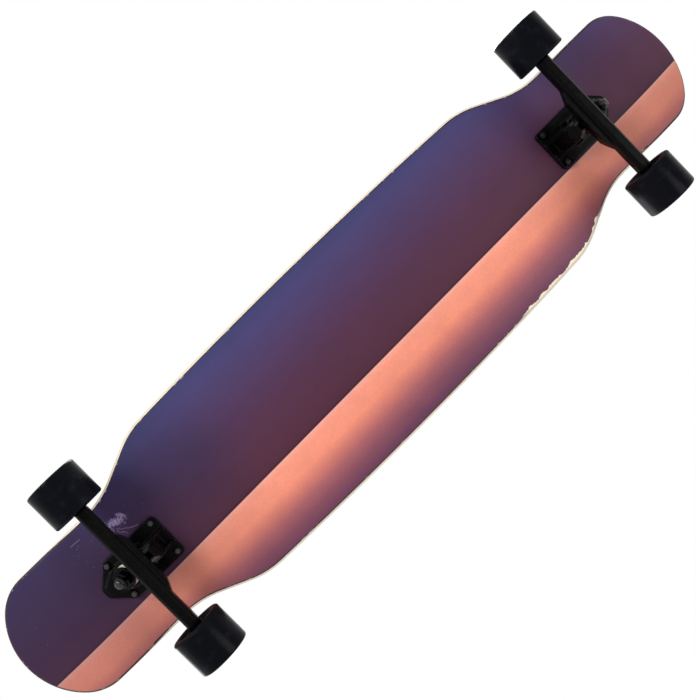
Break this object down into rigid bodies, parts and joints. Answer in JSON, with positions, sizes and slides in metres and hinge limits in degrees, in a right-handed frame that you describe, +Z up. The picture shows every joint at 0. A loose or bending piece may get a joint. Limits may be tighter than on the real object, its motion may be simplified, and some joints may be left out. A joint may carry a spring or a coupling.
{
  "type": "longboard skateboard",
  "caption": "Twin-tip longboard with a cut-in outline for the wheels, raised ends, tilting sprung trucks and free-turning urethane wheels on ball bearings.",
  "frame": {"origin": "on the ground, under the middle of the deck, between the two axles", "axes": "+X forwards along the deck, +Y to the left, +Z up; the wheels stand on z = 0"},
  "size_m": [1.022, 0.251, 0.1453],
  "materials": {
    "deck_ply": "satin lacquered maple plywood with a two-tone gradient underside and a pale ply edge",
    "grip_grit": "coarse matt abrasive sheet",
    "truck_black": "satin black powder coat on cast aluminium",
    "bushing_urethane": "cream satin urethane",
    "cup_plastic": "matt black moulded plastic",
    "dark_steel": "dark oxide, slightly worn",
    "bright_steel": "plain ground steel",
    "bearing_steel": "polished bearing steel",
    "shield_steel": "pressed sheet steel",
    "wheel_urethane": "glossy black urethane with a satin tread",
    "core_plastic": "matt black glass-filled nylon"
  },
  "bodies": {
    "deck": {"deck": "deck_ply", "grip_tape": "grip_grit", "front_baseplate": "truck_black", "front_pivot_cup": "cup_plastic", "front_kingpin": "dark_steel", "front_kingpin_nut": "dark_steel", "front_boardside_bushing": "bushing_urethane", "front_roadside_bushing": "bushing_urethane", "front_boardside_washer": "dark_steel", "front_roadside_washer": "dark_steel", "front_mounting_bolts": "dark_steel", "front_mounting_nuts": "dark_steel", "rear_baseplate": "truck_black", "rear_pivot_cup": "cup_plastic", "rear_kingpin": "dark_steel", "rear_kingpin_nut": "dark_steel", "rear_boardside_bushing": "bushing_urethane", "rear_roadside_bushing": "bushing_urethane", "rear_boardside_washer": "dark_steel", "rear_roadside_washer": "dark_steel", "rear_mounting_bolts": "dark_steel", "rear_mounting_nuts": "dark_steel"},
    "front_hanger": {"front_hanger": "truck_black", "front_axle": "bright_steel", "front_axle_nuts": "dark_steel", "front_speed_rings": "bright_steel", "front_bearing_spacers": "bright_steel", "front_bearing_inner_races": "bearing_steel"},
    "front_left_wheel": {"front_left_wheel_tyre": "wheel_urethane", "front_left_wheel_core": "core_plastic", "front_left_bearing_outer_races": "bearing_steel", "front_left_bearing_balls": "bearing_steel", "front_left_bearing_cages": "core_plastic", "front_left_bearing_shields": "shield_steel"},
    "front_right_wheel": {"front_right_wheel_tyre": "wheel_urethane", "front_right_wheel_core": "core_plastic", "front_right_bearing_outer_races": "bearing_steel", "front_right_bearing_balls": "bearing_steel", "front_right_bearing_cages": "core_plastic", "front_right_bearing_shields": "shield_steel"},
    "rear_hanger": {"rear_hanger": "truck_black", "rear_axle": "bright_steel", "rear_axle_nuts": "dark_steel", "rear_speed_rings": "bright_steel", "rear_bearing_spacers": "bright_steel", "rear_bearing_inner_races": "bearing_steel"},
    "rear_left_wheel": {"rear_left_wheel_tyre": "wheel_urethane", "rear_left_wheel_core": "core_plastic", "rear_left_bearing_outer_races": "bearing_steel", "rear_left_bearing_balls": "bearing_steel", "rear_left_bearing_cages": "core_plastic", "rear_left_bearing_shields": "shield_steel"},
    "rear_right_wheel": {"rear_right_wheel_tyre": "wheel_urethane", "rear_right_wheel_core": "core_plastic", "rear_right_bearing_outer_races": "bearing_steel", "rear_right_bearing_balls": "bearing_steel", "rear_right_bearing_cages": "core_plastic", "rear_right_bearing_shields": "shield_steel"}
  },
  "joints": [
    {"name": "front_steer", "type": "hinge", "parent": "deck", "child": "front_hanger", "pos_m": [0.3522, 0, 0.071], "axis": [0.8192, 0, 0.5736], "range_deg": [-20, 20], "stiffness_Nm_per_rad": 45, "deforming": ["front_boardside_bushing", "front_roadside_bushing"]},
    {"name": "front_left_wheel_spin", "type": "hinge", "parent": "front_hanger", "child": "front_left_wheel", "pos_m": [0.338, 0.1032, 0.03], "axis": [0, 1, 0], "continuous": true},
    {"name": "front_right_wheel_spin", "type": "hinge", "parent": "front_hanger", "child": "front_right_wheel", "pos_m": [0.338, -0.1032, 0.03], "axis": [0, 1, 0], "continuous": true},
    {"name": "rear_steer", "type": "hinge", "parent": "deck", "child": "rear_hanger", "pos_m": [-0.3522, 0, 0.071], "axis": [-0.8192, 0, 0.5736], "range_deg": [-20, 20], "stiffness_Nm_per_rad": 45, "deforming": ["rear_boardside_bushing", "rear_roadside_bushing"]},
    {"name": "rear_left_wheel_spin", "type": "hinge", "parent": "rear_hanger", "child": "rear_left_wheel", "pos_m": [-0.338, 0.1032, 0.03], "axis": [0, 1, 0], "continuous": true},
    {"name": "rear_right_wheel_spin", "type": "hinge", "parent": "rear_hanger", "child": "rear_right_wheel", "pos_m": [-0.338, -0.1032, 0.03], "axis": [0, 1, 0], "continuous": true}
  ]
}
